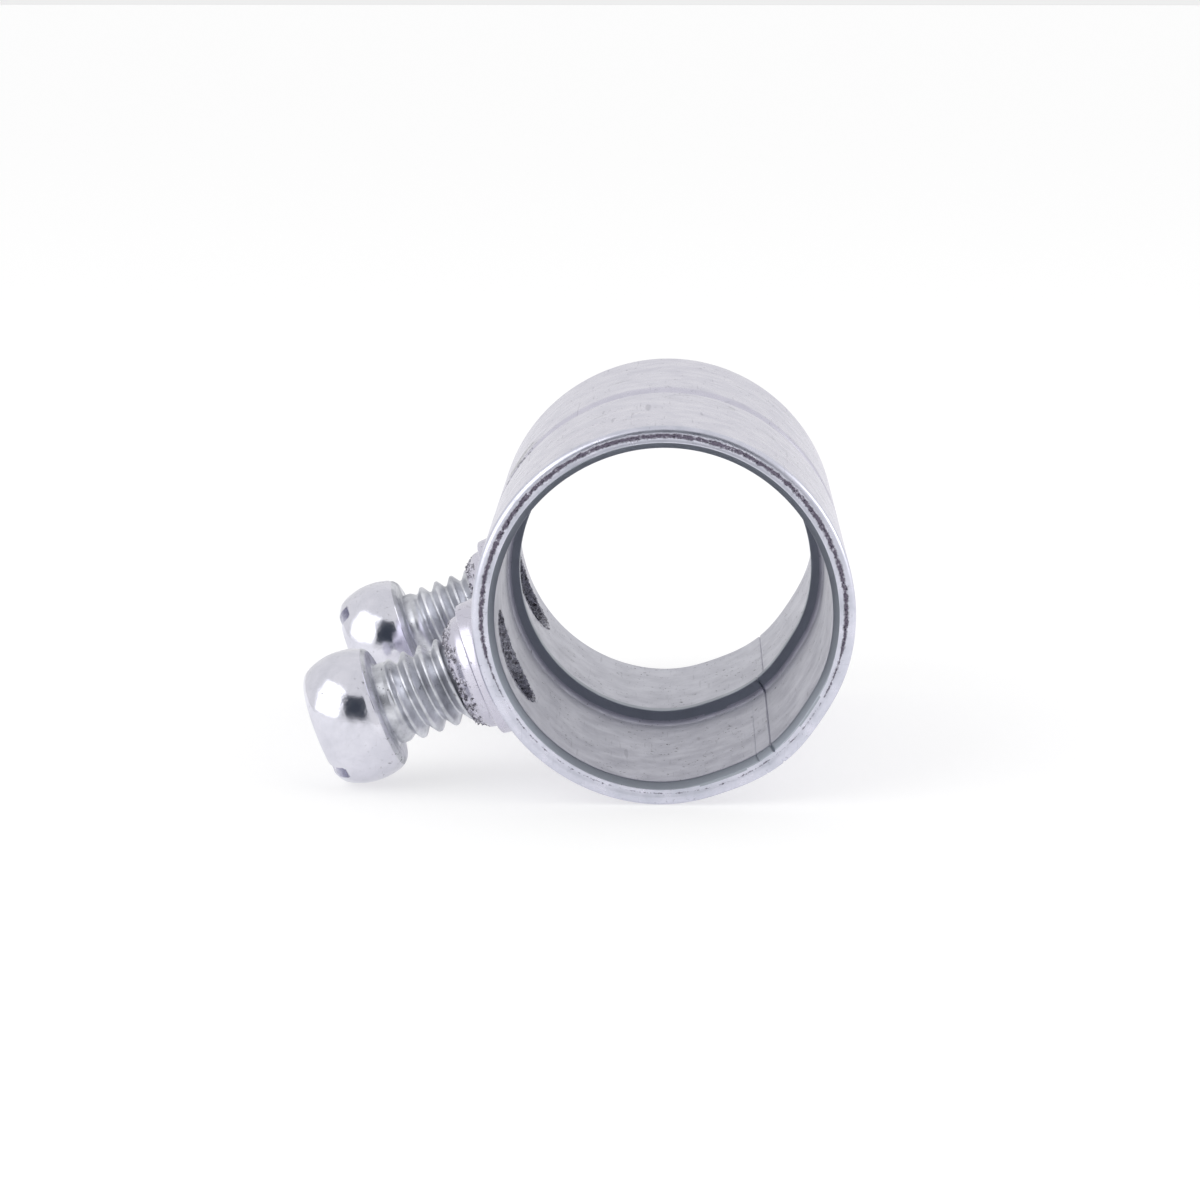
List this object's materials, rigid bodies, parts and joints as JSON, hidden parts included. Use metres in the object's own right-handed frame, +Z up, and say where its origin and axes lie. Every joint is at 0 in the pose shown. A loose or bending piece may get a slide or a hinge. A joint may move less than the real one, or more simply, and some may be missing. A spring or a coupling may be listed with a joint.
{
  "type": "set-screw conduit coupling",
  "caption": "Short zinc-plated steel sleeve with a rolled centre stop and slotted screws in drawn bosses, for joining two thin-wall conduits end to end.",
  "frame": {"origin": "on the bore axis at mid-length, in the middle of the centre stop", "axes": "+Y along the bore axis, +Z up as the coupling lies at rest on its sleeve and both screw heads, screws towards -X and down by about 21 degrees"},
  "size_m": [0.0395, 0.044, 0.0268],
  "materials": {
    "sleeve_zinc": "bright zinc plate over rolled steel strip, satin, lightly scuffed",
    "screw_zinc": "bright zinc plate over a headed and thread-rolled screw, glossy"
  },
  "bodies": {
    "sleeve_body": {"sleeve": "sleeve_zinc"},
    "front_screw": {"front_set_screw": "screw_zinc"},
    "rear_screw": {"rear_set_screw": "screw_zinc"}
  },
  "joints": [
    {"name": "front_screw_travel", "type": "slide", "parent": "sleeve_body", "child": "front_screw", "axis": [0.9326, 0, 0.3608], "range_m": [-0.0025, 0.0054]},
    {"name": "rear_screw_travel", "type": "slide", "parent": "sleeve_body", "child": "rear_screw", "axis": [0.9326, 0, 0.3608], "range_m": [-0.0025, 0.0054]}
  ]
}
